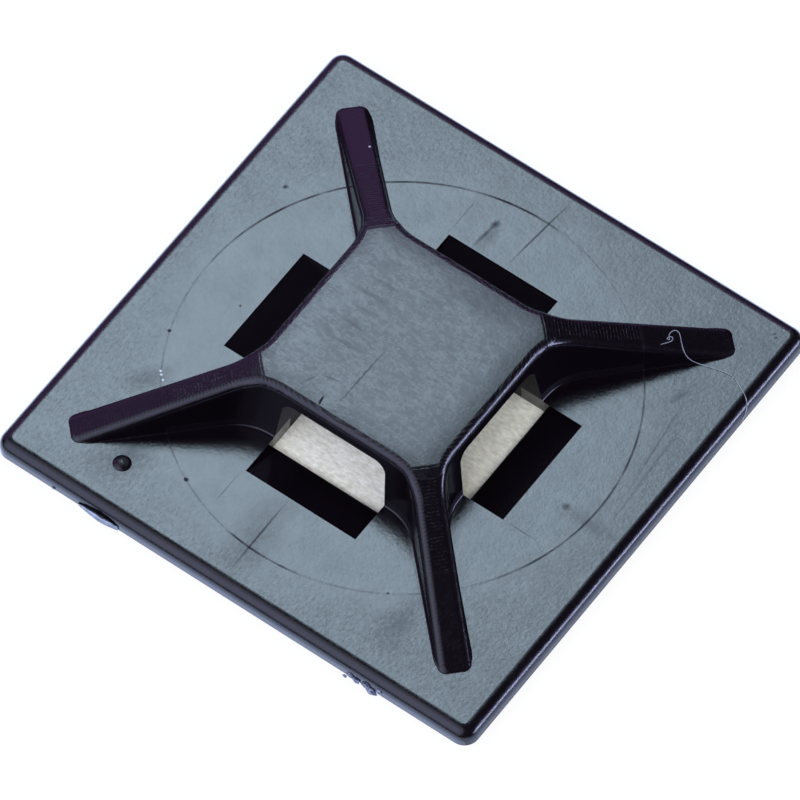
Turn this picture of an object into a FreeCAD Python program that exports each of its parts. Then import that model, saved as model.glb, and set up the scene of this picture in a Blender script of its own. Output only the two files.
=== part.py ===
import FreeCAD, Part
import math
import os
import Sketcher

# Four-way adhesive cable tie mount: a moulded body on a die-cut foam pad.
# Millimetres and degrees. +Z is up and the origin is the middle of the pad's
# underside. The tie tunnels run along X and along Y, the ribs along the diagonals.

SIZES = [
    ("plate_side", 28.6, "outside of the square plate"),
    ("plate_thick", 1.0, "plate, underside to top"),
    ("plate_corner", 0.8, "corner radius of the plate in plan"),
    ("plate_round", 0.65, "radius along the plate's upper edge"),
    ("pad_thick", 0.8, "foam pad"),
    ("pad_inset", 0.8, "plate edge to pad edge"),
    ("bridge_height", 3.7, "plate top to bridge top"),
    ("bridge_wall", 0.8, "tunnel roof to bridge top"),
    ("bridge_width", 11.05, "across the bridge at its top"),
    ("bridge_draft", 8.0, "lean of the bridge sides"),
    ("rib_width", 1.5, "rib, at the height of the bridge top"),
    ("rib_draft", 2.0, "lean of the rib flanks"),
    ("rib_end_gap", 3.7, "rib end to the corner of the plate, along the diagonal"),
    ("rib_end_round", 0.55, "upright corners of a rib end"),
    ("rib_start", 7.0, "centre to where the rib starts to fall"),
    ("hollow_round", 3.0, "upright hollow between bridge side and rib"),
    ("crest_round", 0.8, "bridge top into the fall of a rib"),
    ("rim_round", 0.45, "along the upper edges of bridge and ribs"),
    ("foot_round", 0.1, "where bridge and ribs meet the plate"),
    ("tunnel_width", 6.6, "tie tunnel and its recess, at the plate top"),
    ("tunnel_draft", 5.0, "lean of the tunnel walls"),
    ("tunnel_round", 0.7, "upper corners of the tunnel"),
    ("window_reach", 6.2, "centre to the end of the window in the plate"),
    ("recess_reach", 8.43, "centre to the outer edge of the lead-in recess"),
    ("recess_step", 0.10, "depth of the recess at its outer edge"),
    ("recess_depth", 0.62, "depth of the recess at the window"),
    ("lip_round", 0.2, "edge between recess and window"),
    ("pip_width", 0.95, "round pip that the mould leaves on the plate"),
    ("pip_height", 0.17, "rise of the pip"),
    ("pip_aside", 5.89, "middle of the pip to the plate's -X edge"),
    ("pip_in", 2.66, "middle of the pip to the plate's -Y edge"),
]

# heights and widths that follow from the sizes
DERIVED = [
    ("plate_low", "=pad_thick"),
    ("plate_top", "=plate_low + plate_thick"),
    ("bridge_top", "=plate_top + bridge_height"),
    ("block_height", "=bridge_height + plate_thick"),
    ("tunnel_roof", "=bridge_top - bridge_wall"),
    ("bridge_foot", "=bridge_width + 2 * block_height * tan(bridge_draft * 1deg)"),
    ("rib_foot", "=rib_width + 2 * block_height * tan(rib_draft * 1deg)"),
    ("rib_reach", "=plate_side / sqrt(2) - rib_end_gap"),
    ("rib_fall_rate", "=bridge_height / (rib_reach - rib_start)"),
    ("tunnel_high", "=tunnel_width - 2 * (tunnel_roof - plate_top) * tan(tunnel_draft * 1deg)"),
    ("tunnel_low", "=tunnel_width + 2 * plate_thick * tan(tunnel_draft * 1deg)"),
    ("pip_radius", "=(pip_width * pip_width / 4 + pip_height * pip_height) / (2 * pip_height)"),
]

DIAGONAL = 45.0
QUARTERS = 4
NEAR = 0.01

os.makedirs("parts", exist_ok=True)
doc = FreeCAD.newDocument("tie_mount")
sheet = doc.addObject("Spreadsheet::Sheet", "Sizes")
for row, (name, size, note) in enumerate(SIZES, start=1):
    sheet.set("A%d" % row, name)
    sheet.set("B%d" % row, "%g" % size)
    sheet.set("C%d" % row, note)
    sheet.setAlias("B%d" % row, name)
for row, (name, formula) in enumerate(DERIVED, start=len(SIZES) + 2):
    sheet.set("A%d" % row, name)
    sheet.set("B%d" % row, formula)
    sheet.setAlias("B%d" % row, name)
doc.recompute()


def size_of(name):
    return float(sheet.get(name))


def number(formula):
    """what a formula in the sheet's names comes to"""
    sheet.set("H1", "=" + formula)
    doc.recompute([sheet])
    return float(sheet.get("H1"))


def bound(formula):
    """the formula as the sketches and features write it"""
    words = formula.replace("(", "( ").replace(")", " )").split()
    names = [name for name, rest in DERIVED] + [name for name, size, note in SIZES]
    return " ".join("Sizes." + word if word in names else word for word in words)


def datum(body, role):
    """one of the body's own planes or axes"""
    return [f for f in body.Origin.OriginFeatures if f.Role == role][0]


def sketch_on(body, label, plane, axis=(0, 0, 1), turn=0.0, height=None):
    sketch = body.newObject("Sketcher::SketchObject", label)
    sketch.AttachmentSupport = [(datum(body, plane), "")]
    sketch.MapMode = "FlatFace"
    sketch.AttachmentOffset = FreeCAD.Placement(
        FreeCAD.Vector(), FreeCAD.Rotation(FreeCAD.Vector(*axis), turn))
    if height:
        sketch.setExpression("AttachmentOffset.Base.z", bound(height))
    return sketch


def hold(sketch, formula, kind, *where):
    """a dimension of the sketch that follows a formula"""
    k = sketch.addConstraint(Sketcher.Constraint(kind, *where))
    sketch.setExpression("Constraints[%d]" % k, formula)


def draw_polygon(sketch, corners):
    """closed outline through corners given as pairs of formulas"""
    points = [FreeCAD.Vector(number(x), number(y)) for x, y in corners]
    count = len(points)
    for i, point in enumerate(points):
        sketch.addGeometry(Part.LineSegment(point, points[(i + 1) % count]), False)
    for i in range(count):
        sketch.addConstraint(Sketcher.Constraint("Coincident", i, 2, (i + 1) % count, 1))
    for i, (x, y) in enumerate(corners):
        hold(sketch, bound(x), "DistanceX", -1, 1, i, 1, points[i].x)
        hold(sketch, bound(y), "DistanceY", -1, 1, i, 1, points[i].y)


def draw_square(sketch, half):
    less = "0 - " + half
    draw_polygon(sketch, [(less, less), (half, less), (half, half), (less, half)])


def add_arc(sketch, x, y, radius, start, end):
    circle = Part.Circle(FreeCAD.Vector(x, y), FreeCAD.Vector(0, 0, 1), radius)
    sketch.addGeometry(Part.ArcOfCircle(circle, math.radians(start), math.radians(end)), False)


def add_line(sketch, x0, y0, x1, y1):
    sketch.addGeometry(Part.LineSegment(FreeCAD.Vector(x0, y0), FreeCAD.Vector(x1, y1)), False)


def draw_arch(sketch, low_width, high_width, floor, roof, radius, draft):
    """tunnel section: leaning walls under a flat roof with round corners"""
    low, high = number(low_width) / 2, number(high_width) / 2
    z0, z1, r = number(floor), number(roof), number(radius)
    add_line(sketch, -low, z0, low, z0)
    add_line(sketch, low, z0, high, z1 - r)
    add_arc(sketch, high - r, z1 - r, r, 0, 90)
    add_line(sketch, high - r, z1, r - high, z1)
    add_arc(sketch, r - high, z1 - r, r, 90, 180)
    add_line(sketch, -high, z1 - r, -low, z0)
    C = Sketcher.Constraint
    sketch.addConstraint([C("Coincident", 0, 2, 1, 1), C("Coincident", 5, 2, 0, 1)])
    sketch.addConstraint([C("Tangent", i, 2, i + 1, 1) for i in range(1, 5)])
    sketch.addConstraint([C("Horizontal", 3), C("Symmetric", 1, 2, 5, 1, -2)])
    hold(sketch, bound("0 - " + low_width + " / 2"), "DistanceX", -1, 1, 0, 1, -low)
    hold(sketch, bound(low_width + " / 2"), "DistanceX", -1, 1, 1, 1, low)
    hold(sketch, bound(floor), "DistanceY", -1, 1, 0, 1, z0)
    hold(sketch, bound(floor), "DistanceY", -1, 1, 1, 1, z0)
    hold(sketch, bound(roof), "DistanceY", -1, 1, 3, 1, z1)
    hold(sketch, bound(radius), "Radius", 2, r)
    hold(sketch, "90deg + Sizes.%s * 1deg" % draft, "Angle", 1, math.radians(90))


def extrude(body, label, sketch, length, side="One side"):
    pad = body.newObject("PartDesign::Pad", label)
    pad.Profile = sketch
    pad.SideType = side
    pad.setExpression("Length", bound(length))
    doc.recompute()
    return pad


def lean_sides(body, label, base, draft):
    """draft of a block's upright sides, hinged at its top"""
    faces = [("Face%d" % i, f.BoundBox) for i, f in enumerate(base.Shape.Faces, start=1)]
    leaning = body.newObject("PartDesign::Draft", label)
    leaning.Base = (base, [name for name, box in faces if box.ZLength > NEAR])
    leaning.NeutralPlane = (base, [name for name, box in faces if is_level(box, base.Shape.BoundBox.ZMax)])
    leaning.setExpression("Angle", bound(draft))
    doc.recompute()
    return leaning


def cut_through(body, label, sketch, length):
    """a pocket to both sides of its sketch"""
    pocket = body.newObject("PartDesign::Pocket", label)
    pocket.Profile = sketch
    pocket.SideType = "Symmetric"
    pocket.setExpression("Length", bound(length))
    doc.recompute()
    return pocket


def repeat(body, label, feature, count=QUARTERS, angle=360.0):
    """copies of a feature round the Z axis"""
    pattern = body.newObject("PartDesign::PolarPattern", label)
    pattern.Originals = [feature]
    pattern.Axis = (datum(body, "Z_Axis"), [""])
    pattern.Angle = angle
    pattern.Occurrences = count
    body.Tip = pattern
    doc.recompute()
    return pattern


def round_off(body, label, base, radius, wanted):
    """fillet of the edges whose bounding box passes the test"""
    edges = ["Edge%d" % i for i, e in enumerate(base.Shape.Edges, start=1) if wanted(e.BoundBox)]
    fillet = body.newObject("PartDesign::Fillet", label)
    fillet.Base = (base, edges)
    fillet.setExpression("Radius", bound(radius))
    doc.recompute()
    return fillet


def reach_of(box):
    return max(abs(box.XMin), abs(box.XMax), abs(box.YMin), abs(box.YMax))


def is_level(box, height):
    return box.ZLength < NEAR and abs(box.ZMax - height) < NEAR


def on_diagonal(box):
    return abs(abs(box.Center.x) - abs(box.Center.y)) < NEAR


def make_star(body):
    """bridge block and crossed ribs, from the plate's underside to the bridge top"""
    outline = sketch_on(body, "bridge_outline", "XY_Plane", height="plate_low")
    draw_square(outline, "bridge_width / 2")
    block = extrude(body, "bridge_block", outline, "block_height")
    lean_sides(body, "bridge_sides", block, "bridge_draft")
    section = sketch_on(body, "rib_section", "XZ_Plane", axis=(0, 1, 0), turn=DIAGONAL)
    draw_polygon(section, [("0 - rib_foot / 2", "plate_low"), ("rib_foot / 2", "plate_low"),
                           ("rib_width / 2", "bridge_top"), ("0 - rib_width / 2", "bridge_top")])
    bar = extrude(body, "rib_bar", section, "2 * rib_reach", "Symmetric")
    crossed = repeat(body, "rib_cross", bar, count=2, angle=90.0)

    def upright(box):
        return box.ZLength > size_of("bridge_height")

    def between_side_and_rib(box):
        return upright(box) and reach_of(box) < size_of("bridge_foot") / 2 + NEAR

    hollows = round_off(body, "hollows", crossed, "hollow_round", between_side_and_rib)

    nearly_end = size_of("rib_reach") - size_of("rib_width")

    def at_rib_end(box):
        return upright(box) and math.hypot(box.Center.x, box.Center.y) > nearly_end

    return round_off(body, "rib_ends", hollows, "rib_end_round", at_rib_end)


def slope_ribs(body, star):
    """each rib falls from the bridge top to the plate at its end"""
    past_end = 1.0
    profile = sketch_on(body, "rib_slope", "XZ_Plane", axis=(0, 1, 0), turn=DIAGONAL)
    end = "rib_reach + %g" % past_end
    draw_polygon(profile, [("rib_start", "bridge_top"),
                           (end, "plate_top - rib_fall_rate * %g" % past_end),
                           (end, "bridge_top + %g" % past_end),
                           ("rib_start", "bridge_top + %g" % past_end)])
    sloped = repeat(body, "rib_falls", cut_through(body, "rib_fall", profile, "plate_side"))

    def crest(box):
        return is_level(box, size_of("bridge_top")) and on_diagonal(box)

    crests = round_off(body, "crests", sloped, "crest_round", crest)

    def rim(box):
        across = box.ZLength < NEAR and on_diagonal(box)
        return box.ZMin > size_of("plate_low") + NEAR and not across

    return round_off(body, "rims", crests, "rim_round", rim)


def add_plate(body):
    """square plate with round corners and a rounded upper edge"""
    half = size_of("plate_side") / 2
    outline = sketch_on(body, "plate_outline", "XY_Plane", height="plate_low")
    draw_square(outline, "plate_side / 2")
    plate = extrude(body, "plate", outline, "plate_thick")

    def corner(box):
        return box.ZLength > NEAR and min(abs(box.Center.x), abs(box.Center.y)) > half - NEAR

    corners = round_off(body, "plate_corners", plate, "plate_corner", corner)

    def upper_edge(box):
        return is_level(box, size_of("plate_top")) and reach_of(box) > half - NEAR

    edge = round_off(body, "plate_edge", corners, "plate_round", upper_edge)

    def foot(box):
        return is_level(box, size_of("plate_top")) and reach_of(box) < half - size_of("plate_round") - NEAR

    return round_off(body, "feet", edge, "foot_round", foot)


def cut_tunnels(body):
    """two tie tunnels that cross under the bridge and open through the plate,
    and a lead-in recess in front of each of the four mouths"""
    section = sketch_on(body, "tunnel_section", "XZ_Plane")
    widths = ("tunnel_low", "tunnel_high")
    draw_arch(section, *widths, "plate_low", "tunnel_roof", "tunnel_round", "tunnel_draft")
    tunnel = cut_through(body, "tunnel", section, "2 * window_reach")
    repeat(body, "tunnels", tunnel, count=2, angle=90.0)
    profile = sketch_on(body, "recess_profile", "YZ_Plane")
    draw_polygon(profile, [("window_reach", "plate_top - recess_depth"),
                           ("recess_reach", "plate_top - recess_step"),
                           ("recess_reach", "bridge_top"),
                           ("window_reach", "bridge_top")])
    recesses = repeat(body, "recesses", cut_through(body, "recess", profile, "tunnel_width"))

    def lip(box):
        level = size_of("plate_top") - size_of("recess_depth")
        return is_level(box, level) and max(box.XLength, box.YLength) > size_of("tunnel_width") / 2

    return round_off(body, "lips", recesses, "lip_round", lip)


def add_pip(body):
    """upper half of a ball, of which only a low dome stands above the plate"""
    pip = body.newObject("PartDesign::AdditiveSphere", "pip")
    pip.Angle1 = 0.0
    pip.setExpression("Radius", bound("pip_radius"))
    pip.AttachmentSupport = [(datum(body, "XY_Plane"), "")]
    pip.MapMode = "FlatFace"
    pip.setExpression("AttachmentOffset.Base.x", bound("pip_aside - plate_side / 2"))
    pip.setExpression("AttachmentOffset.Base.y", bound("pip_in - plate_side / 2"))
    pip.setExpression("AttachmentOffset.Base.z", bound("plate_top + pip_height - pip_radius"))
    doc.recompute()


def make_mount_body():
    body = doc.addObject("PartDesign::Body", "mount_body")
    slope_ribs(body, make_star(body))
    add_plate(body)
    cut_tunnels(body)
    add_pip(body)
    return body


def make_adhesive_pad():
    body = doc.addObject("PartDesign::Body", "adhesive_pad")
    outline = sketch_on(body, "pad_outline", "XY_Plane")
    draw_square(outline, "( plate_side / 2 - pad_inset )")
    extrude(body, "foam", outline, "pad_thick")
    return body


pieces = [make_mount_body(), make_adhesive_pad()]
sheet.clear("H1")
doc.recompute()
for item in doc.Objects:
    if "Invalid" in item.State or "Error" in item.State:
        raise RuntimeError("%s did not compute" % item.Label)
for piece in pieces:
    if not piece.Shape.isValid() or len(piece.Shape.Solids) != 1:
        raise RuntimeError("%s is not one valid solid" % piece.Label)
    piece.Shape.exportStep("parts/%s.step" % piece.Label)
    print(piece.Label, round(piece.Shape.Volume, 3), "mm3", len(piece.Shape.Faces), "faces")
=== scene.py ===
import math

import bpy
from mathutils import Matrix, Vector, noise


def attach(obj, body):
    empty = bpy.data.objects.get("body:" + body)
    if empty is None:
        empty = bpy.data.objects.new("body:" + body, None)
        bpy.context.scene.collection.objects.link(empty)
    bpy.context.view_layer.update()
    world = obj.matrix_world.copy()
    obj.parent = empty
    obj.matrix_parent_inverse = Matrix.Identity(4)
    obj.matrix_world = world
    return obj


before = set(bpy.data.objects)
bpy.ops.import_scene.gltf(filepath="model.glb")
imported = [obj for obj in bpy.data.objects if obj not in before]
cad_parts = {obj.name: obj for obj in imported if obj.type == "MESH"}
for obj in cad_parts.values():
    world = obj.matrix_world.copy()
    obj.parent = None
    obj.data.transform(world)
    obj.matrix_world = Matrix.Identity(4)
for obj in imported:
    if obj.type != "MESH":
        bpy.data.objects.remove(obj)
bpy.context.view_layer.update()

# The camera looks down on one corner of the plate from far off through a long lens,
# so that the square plate shows with hardly any convergence.
camera = bpy.data.objects.new("camera", bpy.data.cameras.new("camera"))
bpy.context.scene.collection.objects.link(camera)
camera.location = (0.15925, -0.22154, 0.44557)
camera.rotation_euler = [math.radians(angle) for angle in (31.506, -0.191, 36.047)]
camera.data.lens = 479.6
camera.data.sensor_width = 36.0
camera.data.clip_start = 0.05
camera.data.clip_end = 50.0
bpy.context.scene.camera = camera
bpy.context.scene.view_settings.view_transform = "Standard"


# The floor is a white card on a dark bench. The camera sees plain white all over, a
# little darker where the mount shades it, and the glossy plastic mirrors the card alone.
def linear(colour):
    """sRGB hex to the linear RGBA that the shaders take"""
    parts = [int(colour[i:i + 2], 16) / 255 for i in (1, 3, 5)]
    return [p / 12.92 if p <= 0.04045 else ((p + 0.055) / 1.055) ** 2.4 for p in parts] + [1.0]


def add_node(tree, kind, inputs=None, **settings):
    """a node with its settings; an input is a value or another node's output"""
    node = tree.nodes.new(kind)
    for name, setting in settings.items():
        setattr(node, name, setting)
    for socket, given in (inputs or {}).items():
        if isinstance(given, bpy.types.NodeSocket):
            tree.links.new(given, node.inputs[socket])
        else:
            node.inputs[socket].default_value = given
    return node


def new_material(name):
    """an empty material and its node tree"""
    material = bpy.data.materials.new(name)
    material.use_nodes = True
    material.node_tree.nodes.clear()
    return material, material.node_tree


# the card's top lies a hair under the pad, so that the two faces don't coincide; the
# sizes of the floor are metres
table_size = 8.0
contact_gap = 0.00004
bpy.ops.mesh.primitive_plane_add(size=table_size, location=(0, 0, -contact_gap))
table = bpy.context.object
table.name = "table"

# matt white card that fades to the bench; in reflections it also glows blue-white, brighter than
# white, as a painted reflection of lit paper, with painted shade along the plate's +X side
card_reach = 0.018
bench_reach = 1.2 * card_reach
plate_reach = 0.01435
shade_reach = 0.0011
shaded = 0.35
mirror_share = 0.7
camera_share = 0.88
card_glow = (1.9, 2.3, 3.4, 1)
white_glow = (1, 1, 1, 1)
white_card, tree = new_material("white_card")
path = add_node(tree, "ShaderNodeLightPath")
seen = path.outputs["Is Camera Ray"]
place = add_node(tree, "ShaderNodeTexCoord")
away = add_node(tree, "ShaderNodeVectorMath", {0: place.outputs["Object"]}, operation="ABSOLUTE")
away = add_node(tree, "ShaderNodeSeparateXYZ", {0: away.outputs[0]})
away = add_node(tree, "ShaderNodeMath", {0: away.outputs["X"], 1: away.outputs["Y"]}, operation="MAXIMUM")
card = add_node(tree, "ShaderNodeMapRange", {"Value": away.outputs[0], "From Min": card_reach,
                                             "From Max": bench_reach, "To Min": 1.0, "To Max": 0.0})
paper = add_node(tree, "ShaderNodeMix", {0: card.outputs[0], 6: linear("#202024"), 7: linear("#CCD4E6")},
                 data_type="RGBA")
paper = add_node(tree, "ShaderNodeMix", {0: seen, 6: paper.outputs[2], 7: linear("#FAFAFC")},
                 data_type="RGBA")
beside = add_node(tree, "ShaderNodeSeparateXYZ", {0: place.outputs["Object"]})
# painted shade: the glow that reflections see is dimmed beside the plate's +X wall
lit = add_node(tree, "ShaderNodeMapRange", {"Value": beside.outputs["X"], "From Min": plate_reach,
                                            "From Max": plate_reach + shade_reach,
                                            "To Min": 0.0, "To Max": shaded})
open_side = add_node(tree, "ShaderNodeMath", {0: beside.outputs["X"], 1: plate_reach}, operation="LESS_THAN")
lit = add_node(tree, "ShaderNodeMath", {0: lit.outputs[0], 1: open_side.outputs[0]}, operation="MAXIMUM")
# painted reflection: glossy rays see the card glow blue-white in place of lit paper
mirrored = add_node(tree, "ShaderNodeMath", {0: path.outputs["Is Glossy Ray"], 1: card.outputs[0]},
                    operation="MULTIPLY")
mirrored = add_node(tree, "ShaderNodeMath", {0: mirrored.outputs[0], 1: lit.outputs[0]},
                    operation="MULTIPLY")
mirrored = add_node(tree, "ShaderNodeMath", {0: mirrored.outputs[0], 1: mirror_share},
                    operation="MULTIPLY")
glow_share = add_node(tree, "ShaderNodeMath", {0: seen, 1: camera_share}, operation="MULTIPLY")
glow_share = add_node(tree, "ShaderNodeMath", {0: mirrored.outputs[0], 1: glow_share.outputs[0]},
                      operation="MAXIMUM")
glow_colour = add_node(tree, "ShaderNodeMix", {0: seen, 6: card_glow, 7: white_glow}, data_type="RGBA")
matt = add_node(tree, "ShaderNodeBsdfDiffuse", {"Color": paper.outputs[2]})
glow = add_node(tree, "ShaderNodeEmission", {"Color": glow_colour.outputs[2], "Strength": 1.0})
shown = add_node(tree, "ShaderNodeMixShader", {0: glow_share.outputs[0], 1: matt.outputs[0],
                                               2: glow.outputs[0]})
add_node(tree, "ShaderNodeOutputMaterial", {"Surface": shown.outputs[0]})
table.data.materials.append(white_card)

# The room behind the table is white for the camera. For light and reflections it is dim,
# so that the black nylon stays black wherever it mirrors no lamp.
room_glow = (0.02, 0.018, 0.025, 1)
room = bpy.data.worlds.new("room")
bpy.context.scene.world = room
room.use_nodes = True
tree = room.node_tree
tree.nodes.clear()
path = add_node(tree, "ShaderNodeLightPath")
dim = add_node(tree, "ShaderNodeBackground", {"Color": room_glow, "Strength": 1.0})
white = add_node(tree, "ShaderNodeBackground", {"Color": white_glow, "Strength": 1.0})
shown = add_node(tree, "ShaderNodeMixShader", {0: path.outputs["Is Camera Ray"], 1: dim.outputs[0],
                                               2: white.outputs[0]})
add_node(tree, "ShaderNodeOutputWorld", {"Surface": shown.outputs[0]})


# Lamps. A round softbox with a bright middle stands where the level faces of the mount
# mirror it to the camera. A weaker pair in front, a low strip beside and a dim violet
# wall behind light the slopes and edges. Two fills light the foam and leave no reflection.
def aim_lamp(name, toward, distance, glow, shape, width, height=None):
    """a lamp that shines at the mount; a glow of 1 looks white in a mirror"""
    lamp = bpy.data.lights.new(name, "AREA")
    lamp.shape = shape
    lamp.size = width
    lamp.size_y = height or width
    area = math.pi * width ** 2 / 4 if shape == "DISK" else lamp.size * lamp.size_y
    brightest = max(glow)
    lamp.energy = math.pi * area * brightest
    lamp.color = [part / brightest for part in glow]
    box = bpy.data.objects.new(name, lamp)
    bpy.context.scene.collection.objects.link(box)
    box.location = Vector(toward).normalized() * distance
    box.rotation_euler = (-box.location).to_track_quat("-Z", "Y").to_euler()
    box.visible_camera = False
    return box


aim_lamp("window_softbox", (-0.305, 0.424, 0.853), 0.5, (2.2, 2.9, 3.5), "DISK", 0.29)
aim_lamp("window_middle", (-0.385, 0.366, 0.853), 0.49, (3.9, 4.9, 5.8), "DISK", 0.17)
aim_lamp("front_softbox", (-0.32, -0.76, 0.57), 0.5, (0.8, 0.85, 1.2), "DISK", 0.86)
aim_lamp("front_middle", (-0.30, -0.80, 0.50), 0.49, (0.6, 0.65, 1.0), "DISK", 0.44)
aim_lamp("edge_strip", (0.89, 0.424, 0.08), 0.5, (11.0, 12.0, 19.0), "RECTANGLE", 0.35, 0.09)
violet_wall = aim_lamp("violet_wall", (-0.785, 0.453, 0.423), 0.9, (0.36, 0.18, 0.54), "RECTANGLE", 1.6, 0.9)
violet_wall.visible_diffuse = False
front_fill = aim_lamp("front_fill", (0.10, -0.63, 0.77), 0.6, (5.2, 5.2, 5.2), "DISK", 0.42)
front_fill.visible_glossy = False
side_fill = aim_lamp("side_fill", (0.70, -0.10, 0.70), 0.6, (4.3, 4.3, 4.3), "DISK", 0.42)
side_fill.visible_glossy = False

# The mount body is one injection moulding in black nylon. Its level faces are glossy
# from the mould and mirror the window, mottled where the mould is worn. The mould's
# round core leaves a thin ring on the plate and turning marks on the ribs.

# millimetres, as all sizes from here on; a hair keeps a mask clear of the next face
mm_per_unit = 1000.0
plate_top = 1.8
bridge_top = 5.5
core_radius = 11.83
hair = 0.1

nylon, tree = new_material("moulded_black_nylon")
place = add_node(tree, "ShaderNodeTexCoord")
mm = add_node(tree, "ShaderNodeVectorMath", {0: place.outputs["Object"], "Scale": mm_per_unit},
              operation="SCALE")
xyz = add_node(tree, "ShaderNodeSeparateXYZ", {0: mm.outputs[0]})
reach = add_node(tree, "ShaderNodeVectorMath", {0: mm.outputs[0]}, operation="ABSOLUTE")
reach = add_node(tree, "ShaderNodeSeparateXYZ", {0: reach.outputs[0]})
outward = add_node(tree, "ShaderNodeMath", {0: reach.outputs["X"], 1: reach.outputs["Y"]},
                   operation="MAXIMUM")
flat = add_node(tree, "ShaderNodeVectorMath", {0: mm.outputs[0], 1: (1.0, 1.0, 0.0)}, operation="MULTIPLY")
radius = add_node(tree, "ShaderNodeVectorMath", {0: flat.outputs[0]}, operation="LENGTH")
facing = add_node(tree, "ShaderNodeSeparateXYZ", {0: place.outputs["Normal"]})
level = add_node(tree, "ShaderNodeMapRange", {"Value": facing.outputs["Z"], "From Min": 0.985,
                                              "From Max": 0.999})
raised = add_node(tree, "ShaderNodeMath", {0: xyz.outputs["Z"], 1: bridge_top - 2 * hair},
                  operation="GREATER_THAN")

# the plate is dulled by fine short strokes outside the core's ring, less so inside it
strokes_per_mm = 4.5
stroke_squeeze = (1.5, 0.8, 1.0)
stroke_dullness = 0.13
mottles_per_mm = 0.55
stroke_place = add_node(tree, "ShaderNodeVectorMath", {0: mm.outputs[0], 1: stroke_squeeze},
                        operation="MULTIPLY")
strokes = add_node(tree, "ShaderNodeTexNoise", {"Vector": stroke_place.outputs[0], "Scale": strokes_per_mm,
                                                "Detail": 4.0, "Roughness": 0.65})
mottle = add_node(tree, "ShaderNodeTexNoise", {"Vector": mm.outputs[0], "Scale": mottles_per_mm,
                                               "Detail": 8.0, "Roughness": 0.66})
worn = add_node(tree, "ShaderNodeMapRange", {"Value": radius.outputs["Value"], "From Min": core_radius - 0.4,
                                             "From Max": core_radius + 1.6, "To Min": 0.35, "To Max": 1.0})
strokes_rough = add_node(tree, "ShaderNodeMapRange", {"Value": strokes.outputs["Fac"], "From Min": 0.3,
                                                      "From Max": 0.75, "To Min": 0.0,
                                                      "To Max": stroke_dullness})
strokes_rough = add_node(tree, "ShaderNodeMath", {0: strokes_rough.outputs[0], 1: worn.outputs[0]},
                         operation="MULTIPLY")
rough = add_node(tree, "ShaderNodeMapRange", {"Value": mottle.outputs["Fac"], "From Min": 0.3,
                                              "From Max": 0.7, "To Min": 0.15, "To Max": 0.21})
rough = add_node(tree, "ShaderNodeMath", {0: rough.outputs[0], 1: strokes_rough.outputs[0]}, operation="ADD")

# the bridge top has fine ripples along one way, left by the milling of the mould
ripples_per_mm = 1.2
ripple_squeeze = (1.7, 4.0, 1.0)
ripple_dullness = 0.13
ripple_place = add_node(tree, "ShaderNodeVectorMath", {0: mm.outputs[0], 1: ripple_squeeze},
                        operation="MULTIPLY")
ripples = add_node(tree, "ShaderNodeTexNoise", {"Vector": ripple_place.outputs[0], "Scale": ripples_per_mm,
                                                "Detail": 5.0, "Roughness": 0.7})
ripples = add_node(tree, "ShaderNodeMapRange", {"Value": ripples.outputs["Fac"], "From Min": 0.3,
                                                "From Max": 0.7, "To Min": 0.02,
                                                "To Max": ripple_dullness})
ripples = add_node(tree, "ShaderNodeMath", {0: ripples.outputs[0], 1: raised.outputs[0]},
                   operation="MULTIPLY")
rough = add_node(tree, "ShaderNodeMath", {0: rough.outputs[0], 1: ripples.outputs[0]}, operation="ADD")

# the core's ring, darker in some stretches: their middles, how far they spread, and how
# much duller they are than the rest of the ring
ring_strength = 0.10
ring_half_width = 0.02
ring_blur = 0.08
ring_breaks_per_mm = 0.9
dark_stretches = [
    (0.0, -11.8, 2.2, 0.4),
    (-1.4, 11.7, 2.4, 0.4),
    (10.6, 0.8, 8.5, 0.25),
    (-9.5, 7.0, 7.5, 0.35),
]
breaks = add_node(tree, "ShaderNodeTexNoise", {"Vector": mm.outputs[0], "Scale": ring_breaks_per_mm,
                                               "Detail": 3.0})
breaks = add_node(tree, "ShaderNodeMapRange", {"Value": breaks.outputs["Fac"], "From Min": 0.3,
                                               "From Max": 0.65, "To Min": 0.25, "To Max": 1.0})
for x, y, spread, duller in dark_stretches:
    near = add_node(tree, "ShaderNodeVectorMath", {0: flat.outputs[0], 1: (x, y, 0.0)}, operation="DISTANCE")
    near = add_node(tree, "ShaderNodeMapRange", {"Value": near.outputs["Value"], "From Min": 0.6 * spread,
                                                 "From Max": spread, "To Min": duller, "To Max": 0.0})
    near = add_node(tree, "ShaderNodeMath", {0: ring_strength, 1: near.outputs[0]}, operation="ADD")
    ring_strength = near.outputs[0]
ring_strength = add_node(tree, "ShaderNodeMath", {0: ring_strength, 1: breaks.outputs[0]},
                         operation="MULTIPLY")
ring = add_node(tree, "ShaderNodeMath", {0: radius.outputs["Value"], 1: core_radius}, operation="SUBTRACT")
ring = add_node(tree, "ShaderNodeMath", {0: ring.outputs[0]}, operation="ABSOLUTE")
ring = add_node(tree, "ShaderNodeMapRange", {"Value": ring.outputs[0], "From Min": ring_half_width,
                                             "From Max": ring_blur, "To Min": 1.0, "To Max": 0.0})
ring = add_node(tree, "ShaderNodeMath", {0: ring.outputs[0], 1: ring_strength.outputs[0]},
                operation="MULTIPLY")
rough = add_node(tree, "ShaderNodeMath", {0: rough.outputs[0], 1: ring.outputs[0]}, operation="ADD")

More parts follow.
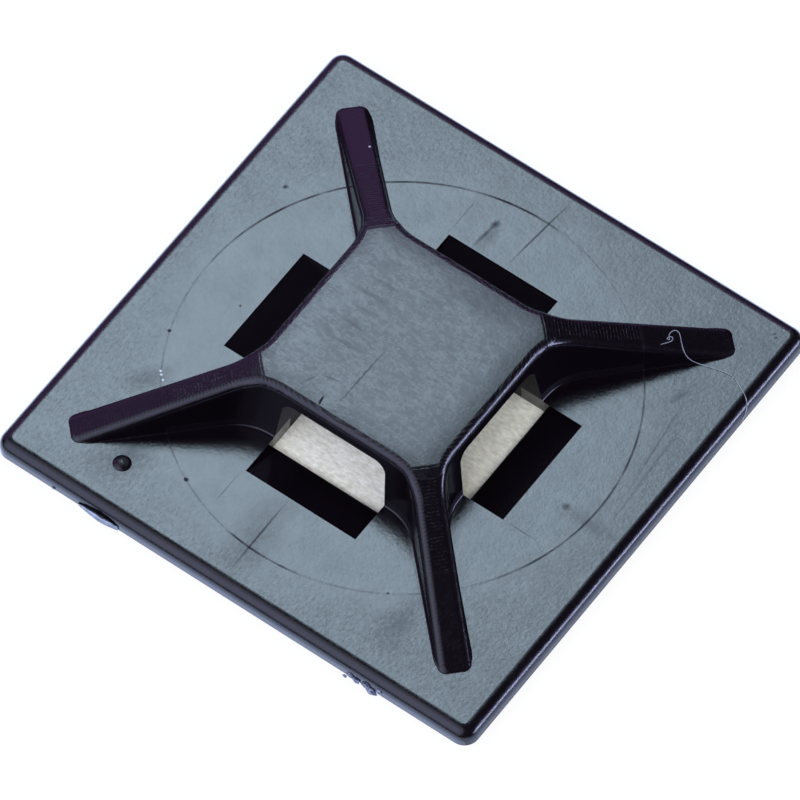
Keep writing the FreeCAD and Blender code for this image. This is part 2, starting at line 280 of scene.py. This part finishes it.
# seams of the mould's inserts, scratches and smudges: place, half length, half width and
# turn in millimetres and degrees, how sharp the mark is, and how dull it makes the gloss
marks = [
    (-0.57, -10.95, 2.6, 0.08, 90.7, 0.2, 0.22),
    (-0.7, -10.9, 3.4, 1.5, 90.7, 0.0, 0.11),
    (0.30, 11.1, 2.75, 0.07, 85.0, 0.3, 0.25),
    (-1.83, 9.5, 1.1, 0.12, 85.0, 0.1, 0.2),
    (-1.75, 10.3, 0.35, 0.25, 80.0, 0.0, 0.3),
    (-1.6, 9.6, 1.4, 0.5, 85.0, 0.0, 0.1),
    (-0.52, -2.5, 2.4, 0.06, 89.0, 0.2, 0.18),
    (-3.43, -9.7, 1.3, 0.05, 90.0, 0.3, 0.10),
    (-3.35, 9.8, 1.5, 0.05, 90.0, 0.3, 0.10),
    (9.6, -3.26, 1.2, 0.05, 0.0, 0.3, 0.14),
    (10.55, 0.0, 3.3, 0.04, 90.0, 0.3, 0.06),
    (10.5, -0.85, 0.30, 0.28, 0.0, 0.0, 0.22),
    (11.8, -1.0, 2.2, 0.6, 0.0, 0.0, 0.10),
    (-5.3, -10.5, 0.13, 0.11, 20.0, 0.3, 0.45),
    (6.4, -9.9, 0.08, 0.07, 0.0, 0.3, 0.35),
    (-11.42, 5.95, 0.18, 0.15, 40.0, 0.1, 0.35),
    (-11.05, -4.15, 0.10, 0.10, 0.0, 0.2, 0.45),
    (-9.1, -0.95, 0.09, 0.08, 0.0, 0.2, 0.35),
    (13.0, 13.2, 0.18, 0.06, 50.0, 0.2, 0.35),
    (13.2, 13.05, 0.15, 0.06, 50.0, 0.2, 0.35),
    (12.1, 4.2, 4.2, 0.10, 97.0, 0.0, 0.12),
    (12.6, 3.2, 4.6, 0.12, 93.0, 0.0, 0.10),
    (11.3, 7.5, 0.9, 0.30, 75.0, 0.0, 0.12),
    (-8.6, -11.2, 2.4, 1.7, 80.0, 0.0, 0.10),
    (7.8, -10.9, 2.4, 1.0, 95.0, 0.0, 0.10),
    (-10.2, -6.9, 1.6, 0.9, 60.0, 0.0, 0.12),
    (-1.32, -4.82, 0.30, 0.06, 100.0, 0.3, 0.6),
    (-2.5, -4.2, 0.55, 0.05, 68.0, 0.2, 0.14),
    (-1.6, -3.5, 0.75, 0.05, 12.0, 0.2, 0.14),
    (-2.6, 2.4, 1.3, 0.14, 4.0, 0.0, 0.07),
    (-2.9, 1.5, 1.2, 0.16, 0.0, 0.0, 0.08),
    (-2.4, 0.6, 1.4, 0.14, 3.0, 0.0, 0.07),
    (-2.7, -0.4, 1.2, 0.14, -3.0, 0.0, 0.07),
    (-2.3, -1.5, 1.3, 0.13, 2.0, 0.0, 0.06),
    (1.6, 4.1, 3.0, 0.8, 0.0, 0.0, 0.07),
]
mark_depth = 100.0
pitted_from = 0.4
ragged_edge = (0.08, 0.08, 0.0)
rags_per_mm = 5.0
marked = 0.0
pits = 0.0
ragged = add_node(tree, "ShaderNodeTexNoise", {"Vector": mm.outputs[0], "Scale": rags_per_mm, "Detail": 2.0})
ragged = add_node(tree, "ShaderNodeVectorMath", {0: ragged.outputs["Color"], 1: ragged_edge,
                                                 2: mm.outputs[0]}, operation="MULTIPLY_ADD")
for x, y, long, wide, turn, sharp, dull in marks:
    mark = add_node(tree, "ShaderNodeMapping", {"Vector": ragged.outputs[0], "Location": (x, y, 0.0),
                                                "Rotation": (0.0, 0.0, math.radians(turn)),
                                                "Scale": (long, wide, mark_depth)}, vector_type="TEXTURE")
    mark = add_node(tree, "ShaderNodeVectorMath", {0: mark.outputs[0]}, operation="LENGTH")
    mark = add_node(tree, "ShaderNodeMapRange", {"Value": mark.outputs["Value"], "From Min": sharp,
                                                 "From Max": 1.0, "To Min": dull, "To Max": 0.0})
    more_marked = add_node(tree, "ShaderNodeMath", {0: marked, 1: mark.outputs[0]}, operation="ADD")
    marked = more_marked.outputs[0]
    if dull >= pitted_from:
        more_pits = add_node(tree, "ShaderNodeMath", {0: pits, 1: mark.outputs[0]}, operation="ADD")
        pits = more_pits.outputs[0]
rough = add_node(tree, "ShaderNodeMath", {0: rough.outputs[0], 1: marked}, operation="ADD")

# turning marks: wavering rings about the upright axis on the sloping rib tops, finer
# outside the core
turning_pitch = 0.17
turning_wobble = 0.25
turning_height = 0.009
turning_height_outside = 0.003
wobble = add_node(tree, "ShaderNodeMath", {0: mottle.outputs["Fac"], 1: turning_wobble,
                                           2: radius.outputs["Value"]}, operation="MULTIPLY_ADD")
turning = add_node(tree, "ShaderNodeMath", {0: wobble.outputs[0], 1: 2 * math.pi / turning_pitch},
                   operation="MULTIPLY")
turning = add_node(tree, "ShaderNodeMath", {0: turning.outputs[0]}, operation="SINE")
core = add_node(tree, "ShaderNodeMapRange", {"Value": radius.outputs["Value"],
                                             "From Min": core_radius - hair, "From Max": core_radius,
                                             "To Min": turning_height, "To Max": turning_height_outside})
above_plate = add_node(tree, "ShaderNodeMath", {0: xyz.outputs["Z"], 1: plate_top + hair},
                       operation="GREATER_THAN")
sloping = add_node(tree, "ShaderNodeMath", {0: 1.0, 1: level.outputs[0]}, operation="SUBTRACT")
sloping = add_node(tree, "ShaderNodeMath", {0: sloping.outputs[0], 1: above_plate.outputs[0]},
                   operation="MULTIPLY")
upward = add_node(tree, "ShaderNodeMapRange", {"Value": facing.outputs["Z"], "From Min": 0.75,
                                               "From Max": 0.9})
turning = add_node(tree, "ShaderNodeMath", {0: turning.outputs[0], 1: core.outputs[0]}, operation="MULTIPLY")
turning = add_node(tree, "ShaderNodeMath", {0: turning.outputs[0], 1: sloping.outputs[0]},
                   operation="MULTIPLY")
turning = add_node(tree, "ShaderNodeMath", {0: turning.outputs[0], 1: upward.outputs[0]},
                   operation="MULTIPLY")
turning = add_node(tree, "ShaderNodeMath", {0: turning.outputs[0], 1: strokes.outputs["Fac"]},
                   operation="MULTIPLY")

# the fillets at the foot of the ribs are matt, as their steel was never polished
foot_height = 0.5
foot_roughness = 0.45
low_down = add_node(tree, "ShaderNodeMath", {0: xyz.outputs["Z"], 1: plate_top + foot_height},
                    operation="LESS_THAN")
inside = add_node(tree, "ShaderNodeMath", {0: radius.outputs["Value"], 1: core_radius},
                  operation="LESS_THAN")
foot = add_node(tree, "ShaderNodeMath", {0: low_down.outputs[0], 1: inside.outputs[0]}, operation="MULTIPLY")
foot = add_node(tree, "ShaderNodeMath", {0: foot.outputs[0], 1: sloping.outputs[0]}, operation="MULTIPLY")
rough = add_node(tree, "ShaderNodeMix", {0: foot.outputs[0], 2: rough.outputs[0], 3: foot_roughness},
                 data_type="FLOAT")

# the floors of the four recesses come from polished steel, and the insides of the
# tunnels, with the faces that look to the middle, from dull eroded steel
recess_within = 9.6
recess_roughness = 0.1
tunnel_within = 4.75
tunnel_below = 4.9
tunnel_roughness = 0.75
looks_inward = -1.2
sunk = add_node(tree, "ShaderNodeMath", {0: xyz.outputs["Z"], 1: plate_top - hair}, operation="LESS_THAN")
indoors = add_node(tree, "ShaderNodeMath", {0: outward.outputs[0], 1: recess_within}, operation="LESS_THAN")
sunk = add_node(tree, "ShaderNodeMath", {0: sunk.outputs[0], 1: indoors.outputs[0]}, operation="MULTIPLY")
rough = add_node(tree, "ShaderNodeMix", {0: sunk.outputs[0], 2: rough.outputs[0], 3: recess_roughness},
                 data_type="FLOAT")
covered = add_node(tree, "ShaderNodeMath", {0: outward.outputs[0], 1: tunnel_within}, operation="LESS_THAN")
roofed = add_node(tree, "ShaderNodeMath", {0: xyz.outputs["Z"], 1: tunnel_below}, operation="LESS_THAN")
tunnel = add_node(tree, "ShaderNodeMath", {0: covered.outputs[0], 1: roofed.outputs[0]},
                  operation="MULTIPLY")
inward = add_node(tree, "ShaderNodeVectorMath", {0: flat.outputs[0], 1: place.outputs["Normal"]},
                  operation="DOT_PRODUCT")
inward = add_node(tree, "ShaderNodeMath", {0: inward.outputs["Value"], 1: looks_inward},
                  operation="LESS_THAN")
inward = add_node(tree, "ShaderNodeMath", {0: inward.outputs[0], 1: above_plate.outputs[0]},
                  operation="MULTIPLY")
tunnel = add_node(tree, "ShaderNodeMath", {0: tunnel.outputs[0], 1: inward.outputs[0]}, operation="MAXIMUM")
rough = add_node(tree, "ShaderNodeMix", {0: tunnel.outputs[0], 2: rough.outputs[0], 3: tunnel_roughness},
                 data_type="FLOAT")

# heights in millimetres: the soft crown by which the bridge top goes over into its rim,
# its slight dome, the turning marks, the pits of the deepest marks, and waves and grain
crown_from = 3.98
crown_fall = -0.03
dome_from = 3.0
dome_fall = -0.006
pit_depth = -0.03
wave_height = 0.02
grains_per_mm = 6.0
grain_least = 0.001
grain_inside = 0.003
grain_worn = 0.002
crown = add_node(tree, "ShaderNodeMath", {0: outward.outputs[0], 1: crown_from}, operation="SUBTRACT")
crown = add_node(tree, "ShaderNodeMath", {0: crown.outputs[0], 1: 0.0}, operation="MAXIMUM")
crown = add_node(tree, "ShaderNodeMath", {0: crown.outputs[0], 1: 2.0}, operation="POWER")
crown = add_node(tree, "ShaderNodeMath", {0: crown.outputs[0], 1: raised.outputs[0]}, operation="MULTIPLY")
dome = add_node(tree, "ShaderNodeMath", {0: radius.outputs["Value"], 1: dome_from}, operation="SUBTRACT")
dome = add_node(tree, "ShaderNodeMath", {0: dome.outputs[0], 1: 0.0}, operation="MAXIMUM")
dome = add_node(tree, "ShaderNodeMath", {0: dome.outputs[0], 1: 2.0}, operation="POWER")
dome = add_node(tree, "ShaderNodeMath", {0: dome.outputs[0], 1: raised.outputs[0]}, operation="MULTIPLY")
height = add_node(tree, "ShaderNodeMath", {0: crown.outputs[0], 1: crown_fall, 2: turning.outputs[0]},
                  operation="MULTIPLY_ADD")
height = add_node(tree, "ShaderNodeMath", {0: dome.outputs[0], 1: dome_fall, 2: height.outputs[0]},
                  operation="MULTIPLY_ADD")
height = add_node(tree, "ShaderNodeMath", {0: pits, 1: pit_depth, 2: height.outputs[0]},
                  operation="MULTIPLY_ADD")
height = add_node(tree, "ShaderNodeMath", {0: mottle.outputs["Fac"], 1: wave_height, 2: height.outputs[0]},
                  operation="MULTIPLY_ADD")
grain = add_node(tree, "ShaderNodeTexNoise", {"Vector": mm.outputs[0], "Scale": grains_per_mm,
                                              "Detail": 2.0})
coarse = add_node(tree, "ShaderNodeMath", {0: worn.outputs[0], 1: grain_worn, 2: grain_inside},
                  operation="MULTIPLY_ADD")
coarse = add_node(tree, "ShaderNodeMath", {0: coarse.outputs[0], 1: level.outputs[0], 2: grain_least},
                  operation="MULTIPLY_ADD")
grain = add_node(tree, "ShaderNodeMath", {0: grain.outputs["Fac"], 1: coarse.outputs[0]},
                 operation="MULTIPLY")
height = add_node(tree, "ShaderNodeMath", {0: grain.outputs[0], 1: height.outputs[0]}, operation="ADD")
skin_relief = add_node(tree, "ShaderNodeBump", {"Strength": 1.0, "Distance": 1.0 / mm_per_unit,
                                                "Height": height.outputs[0]})

# a few specks of pale dust lie on the plate and on the top rib
dust_specks = [
    (-10.05, -6.3),
    (-9.9, -6.45),
    (-9.65, -6.65),
    (-9.0, 9.6),
]
speck_radius = 0.03
speck_blur = 0.08
speck_strength = 0.8
dusty = 0.0
for x, y in dust_specks:
    near = add_node(tree, "ShaderNodeVectorMath", {0: flat.outputs[0], 1: (x, y, 0.0)}, operation="DISTANCE")
    near = add_node(tree, "ShaderNodeMapRange", {"Value": near.outputs["Value"], "From Min": speck_radius,
                                                 "From Max": speck_blur, "To Min": speck_strength,
                                                 "To Max": 0.0})
    near = add_node(tree, "ShaderNodeMath", {0: dusty, 1: near.outputs[0]}, operation="ADD")
    dusty = near.outputs[0]

# nylon 66, dyed through: nearly black with a warm violet tinge, so that all but its
# reflections stays dark
nylon_ior = 1.53
tone = add_node(tree, "ShaderNodeMix", {0: dusty, 6: linear("#09050A"), 7: linear("#C8D0E0")},
                data_type="RGBA")
skin = add_node(tree, "ShaderNodeBsdfPrincipled", {"Base Color": tone.outputs[2],
                                                   "Roughness": rough.outputs[0], "IOR": nylon_ior,
                                                   "Normal": skin_relief.outputs[0]})
add_node(tree, "ShaderNodeOutputMaterial", {"Surface": skin.outputs[0]})
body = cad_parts["mount_body"]
body.data.materials[0] = nylon

# The pad is a square of off-white foam tape, die-cut a little smaller than the plate and
# stuck under it. Its adhesive face shows through the tunnel mouths.
pores_per_mm = (2.8, 5.5, 2.8)
pore_depth = 0.04
foam_roughness = 0.6

# closed-cell foam under a skin of adhesive: pale, matt, and streaked by the pores that
# the coating drew out along the roll
foam, tree = new_material("adhesive_foam")
place = add_node(tree, "ShaderNodeTexCoord")
pores = add_node(tree, "ShaderNodeMapping", {"Vector": place.outputs["Object"],
                                             "Scale": [count * mm_per_unit for count in pores_per_mm]})
pores = add_node(tree, "ShaderNodeTexNoise", {"Vector": pores.outputs[0], "Scale": 1.0, "Detail": 4.0,
                                              "Roughness": 0.6})
pores = add_node(tree, "ShaderNodeMapRange", {"Value": pores.outputs["Fac"], "From Min": 0.3,
                                              "From Max": 0.7})
tone = add_node(tree, "ShaderNodeMix", {0: pores.outputs[0], 6: linear("#CECEBE"), 7: linear("#F4F4EC")},
                data_type="RGBA")
pore_relief = add_node(tree, "ShaderNodeBump", {"Strength": 0.4, "Distance": pore_depth / mm_per_unit,
                                                "Height": pores.outputs[0]})
skin = add_node(tree, "ShaderNodeBsdfPrincipled", {"Base Color": tone.outputs[2],
                                                   "Roughness": foam_roughness,
                                                   "Normal": pore_relief.outputs[0]})
add_node(tree, "ShaderNodeOutputMaterial", {"Surface": skin.outputs[0]})
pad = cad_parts["adhesive_pad"]
pad.data.materials[0] = foam

# A flake of flash clings under the lower left edge of the plate. It is a thin skin of
# nylon, squeezed out when the plate was moulded, torn at both ends and curled off the wall.
wall_face = -14.33
flake_from = -9.1
flake_length = 2.45
flake_middle = 0.95
flake_half_width = 0.38
flake_thickness = 0.04
ripples_along = 9
ripples_up = 2
torn_from = 0.06
torn_share = 0.8
torn_ripple = 0.25
belly = 0.05
curl = 0.10
crinkle = 0.04

bpy.ops.object.select_all(action="DESELECT")
bpy.ops.mesh.primitive_grid_add(x_subdivisions=30, y_subdivisions=6, size=1.0, location=(0, 0, 0))
flake = bpy.context.object
flake.name = "edge_flake"
for corner in flake.data.vertices:
    along = corner.co.x + 0.5
    up = 2 * corner.co.y
    ripple = noise.noise(Vector((ripples_along * along, ripples_up * up, 0.0)))
    half_width = flake_half_width * math.sin(math.pi * (torn_from + torn_share * along))
    half_width = half_width * (1 + torn_ripple * ripple)
    stand_off = (belly + curl * max(0.0, up)) * math.sin(math.pi * along) + crinkle * abs(ripple)
    corner.co = Vector((flake_from + flake_length * along, wall_face - stand_off,
                        flake_middle + half_width * up)) / mm_per_unit
wall = flake.modifiers.new("thickness", "SOLIDIFY")
wall.thickness = flake_thickness / mm_per_unit
wall.offset = 0.0
smooth = flake.modifiers.new("smooth", "SUBSURF")
smooth.levels = 1
smooth.render_levels = 1
for modifier in ("thickness", "smooth"):
    bpy.ops.object.modifier_apply(modifier=modifier)
bpy.ops.object.shade_smooth()

# nylon drawn so thin that it shows blue-grey, with milky streaks where it was stretched
streaks_per_mm = (2.5, 2.5, 9.0)
flash_ior = 1.5
flash_roughness = 0.3
clear_flash, tree = new_material("clear_flash")
place = add_node(tree, "ShaderNodeTexCoord")
streaks = add_node(tree, "ShaderNodeMapping", {"Vector": place.outputs["Object"],
                                               "Scale": [count * mm_per_unit for count in streaks_per_mm]})
streaks = add_node(tree, "ShaderNodeTexNoise", {"Vector": streaks.outputs[0], "Scale": 1.0, "Detail": 3.0})
milky = add_node(tree, "ShaderNodeMapRange", {"Value": streaks.outputs["Fac"], "From Min": 0.45,
                                              "From Max": 0.65})
tone = add_node(tree, "ShaderNodeMix", {0: milky.outputs[0], 6: linear("#262A3C"), 7: linear("#7C84A0")},
                data_type="RGBA")
skin = add_node(tree, "ShaderNodeBsdfPrincipled", {"Base Color": tone.outputs[2],
                                                   "Roughness": flash_roughness, "IOR": flash_ior})
add_node(tree, "ShaderNodeOutputMaterial", {"Surface": skin.outputs[0]})
flake.data.materials.append(clear_flash)
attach(flake, "root")

# Crumbs of the same flash stick to the wall near the bottom corner, and one beside the
# flake. They are shreds that balled up when the plate was cut from its runner.
crumb_places = [
    (6.98, 0.60, 0.09),
    (7.31, 0.98, 0.15),
    (7.67, 0.88, 0.17),
    (8.27, 1.00, 0.20),
    (8.57, 0.74, 0.22),
    (8.99, 1.12, 0.13),
    (-10.6, 0.90, 0.07),
]
crumb_stretch = 1.25
crumb_flatness = 0.55
lumpiness = 0.45
lumps_per_radius = 1.6
crumbs = []
for x, z, size in crumb_places:
    bpy.ops.object.select_all(action="DESELECT")
    bpy.ops.mesh.primitive_ico_sphere_add(subdivisions=4, radius=1.0, location=(0, 0, 0))
    crumb = bpy.context.object
    for corner in crumb.data.vertices:
        lump = 1 + lumpiness * noise.noise(lumps_per_radius * corner.co + Vector((x, z, 0.0)))
        squashed = Vector((crumb_stretch * corner.co.x, crumb_flatness * corner.co.y, corner.co.z))
        corner.co = (squashed * lump * size + Vector((x, wall_face, z))) / mm_per_unit
    crumb.data.materials.append(clear_flash)
    crumbs.append(crumb)
for crumb in crumbs:
    crumb.select_set(True)
bpy.context.view_layer.objects.active = crumbs[0]
bpy.ops.object.join()
crumb = bpy.context.object
crumb.name = "edge_crumbs"
bpy.ops.object.shade_smooth()
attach(crumb, "root")

# A fibre of pale lint lies on the right rib. It has a small snarl at one end, and runs
# down over the plate and its edge.
fibre_radius = 0.017
fibre_path = [
    (9.34, 8.60, 3.31),
    (9.45, 8.84, 3.24),
    (9.62, 9.19, 3.12),
    (9.50, 9.40, 3.12),
    (9.34, 9.25, 3.20),
    (9.36, 9.04, 3.24),
    (9.52, 9.12, 3.22),
    (9.27, 9.34, 3.17),
    (9.25, 9.65, 3.09),
    (9.33, 9.86, 3.01),
    (9.54, 9.89, 2.94),
    (9.75, 9.69, 2.94),
    (10.05, 9.38, 2.94),
    (10.38, 9.17, 2.68),
    (10.60, 9.29, 2.20),
    (10.95, 9.52, 1.86),
    (11.68, 9.76, 1.83),
    (12.38, 9.94, 1.83),
    (12.84, 9.93, 1.83),
    (13.41, 9.64, 1.83),
    (13.90, 9.39, 1.80),
    (14.19, 9.13, 1.60),
    (14.34, 8.74, 1.27),
    (14.34, 8.52, 1.08),
]
bpy.ops.object.select_all(action="DESELECT")
strand = bpy.data.curves.new("lint_fibre", "CURVE")
strand.dimensions = "3D"
strand.bevel_depth = fibre_radius / mm_per_unit
strand.bevel_resolution = 2
strand.resolution_u = 6
strand.use_fill_caps = True
run = strand.splines.new("NURBS")
run.points.add(len(fibre_path) - 1)
for point, (x, y, z) in zip(run.points, fibre_path):
    point.co = (x / mm_per_unit, y / mm_per_unit, z / mm_per_unit, 1.0)
run.use_endpoint_u = True
run.order_u = 3
fibre = bpy.data.objects.new("lint_fibre", strand)
bpy.context.scene.collection.objects.link(fibre)
fibre.select_set(True)
bpy.context.view_layer.objects.active = fibre
bpy.ops.object.convert(target="MESH")
fibre = bpy.context.object
bpy.ops.object.shade_smooth()

# a cotton fibre: matt, blue-grey under the window, and half clear as it is so fine
fuzz_per_mm = 2.5
lint_roughness = 0.7
lint_cover = 0.7
lint, tree = new_material("cotton_lint")
place = add_node(tree, "ShaderNodeTexCoord")
fuzz = add_node(tree, "ShaderNodeTexNoise", {"Vector": place.outputs["Object"],
                                             "Scale": fuzz_per_mm * mm_per_unit})
tone = add_node(tree, "ShaderNodeMix", {0: fuzz.outputs["Fac"], 6: linear("#70788A"), 7: linear("#B4BAC6")},
                data_type="RGBA")
skin = add_node(tree, "ShaderNodeBsdfPrincipled", {"Base Color": tone.outputs[2],
                                                   "Roughness": lint_roughness, "Alpha": lint_cover})
add_node(tree, "ShaderNodeOutputMaterial", {"Surface": skin.outputs[0]})
fibre.data.materials.append(lint)

# of the two slots the foam's is the nearer to cotton
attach(fibre, "root")
